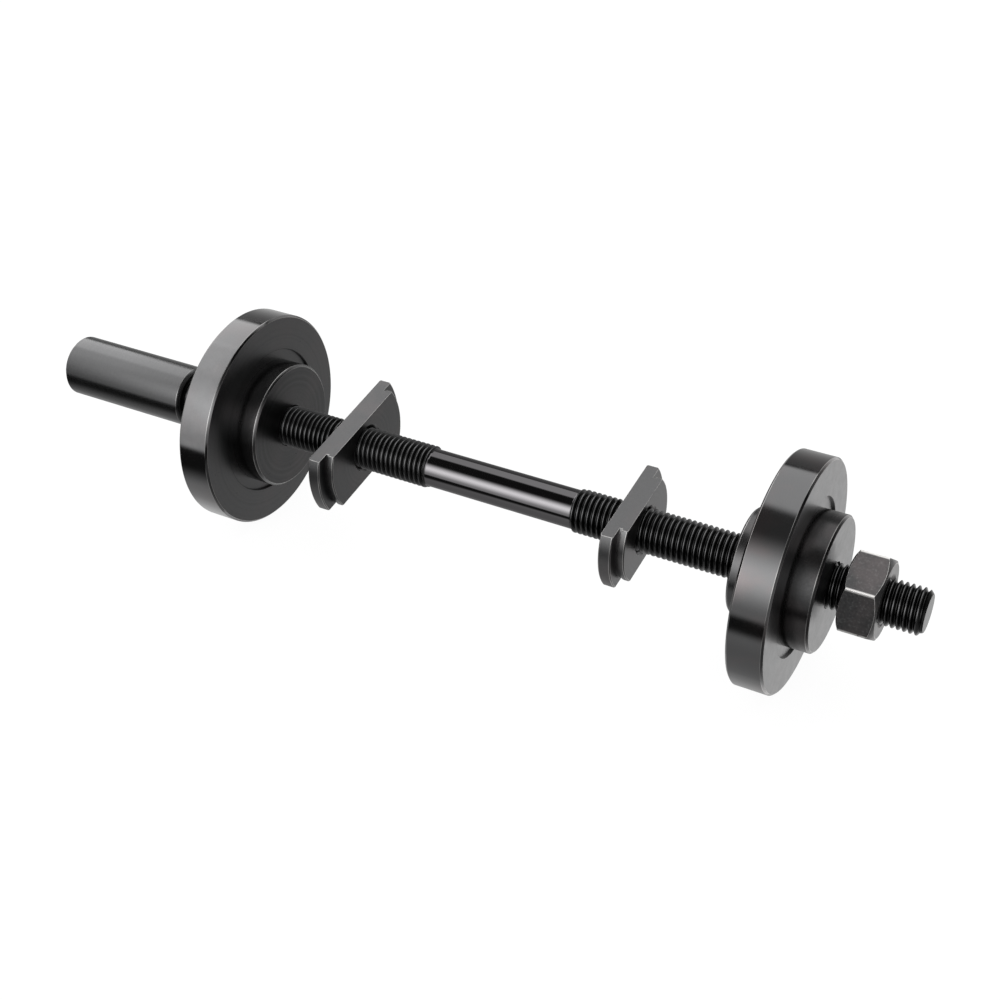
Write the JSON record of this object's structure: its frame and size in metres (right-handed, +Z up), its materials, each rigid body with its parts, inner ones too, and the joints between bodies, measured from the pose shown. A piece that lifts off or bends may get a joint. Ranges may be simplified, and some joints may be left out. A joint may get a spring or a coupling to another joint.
{
  "type": "bottom bracket press",
  "caption": "Threaded-rod bicycle bearing press and remover: stepped press discs, two-flat removal plates, a drive sleeve and a hex nut on a waisted stud.",
  "frame": {"origin": "below the middle of the tool's length, on the surface that the two disc rims lie on", "axes": "+Z up; +X along the rod towards the hex nut's end; the rod's axis is at z = 25.75 mm"},
  "size_m": [0.219, 0.0516, 0.0515],
  "materials": {
    "rod_steel": "glossy black oxide, polished at the waist",
    "sleeve_steel": "satin, finely turned",
    "disc_steel": "satin, finely turned",
    "insert_steel": "satin, turned faces and milled flats",
    "nut_steel": "black oxide with bright worn edges"
  },
  "bodies": {
    "rod": {"press_rod": "rod_steel", "drive_sleeve": "sleeve_steel"},
    "left_disc": {"left_press_disc": "disc_steel"},
    "left_insert": {"left_removal_insert": "insert_steel"},
    "right_insert": {"right_removal_insert": "insert_steel"},
    "right_disc": {"right_press_disc": "disc_steel"},
    "nut": {"hex_nut": "nut_steel"}
  },
  "joints": [
    {"name": "left_disc_slide", "type": "slide", "parent": "rod", "child": "left_disc", "axis": [1, 0, 0], "range_m": [-0.0092, 0.0084]},
    {"name": "left_insert_travel", "type": "slide", "parent": "rod", "child": "left_insert", "axis": [1, 0, 0], "range_m": [-0.0075, 0.015]},
    {"name": "right_insert_travel", "type": "slide", "parent": "rod", "child": "right_insert", "axis": [1, 0, 0], "range_m": [-0.01125, 0.005]},
    {"name": "right_disc_slide", "type": "slide", "parent": "rod", "child": "right_disc", "axis": [1, 0, 0], "range_m": [-0.0165, 0.008]},
    {"name": "nut_turn", "type": "hinge", "parent": "right_disc", "child": "nut", "pos_m": [0.0969, 0, 0.02575], "axis": [1, 0, 0], "range_deg": [-4753, 2305]}
  ],
  "couplings": [
    {"joint": "nut_turn", "follows": "right_disc_slide", "rad_per_m": 5026.5}
  ]
}
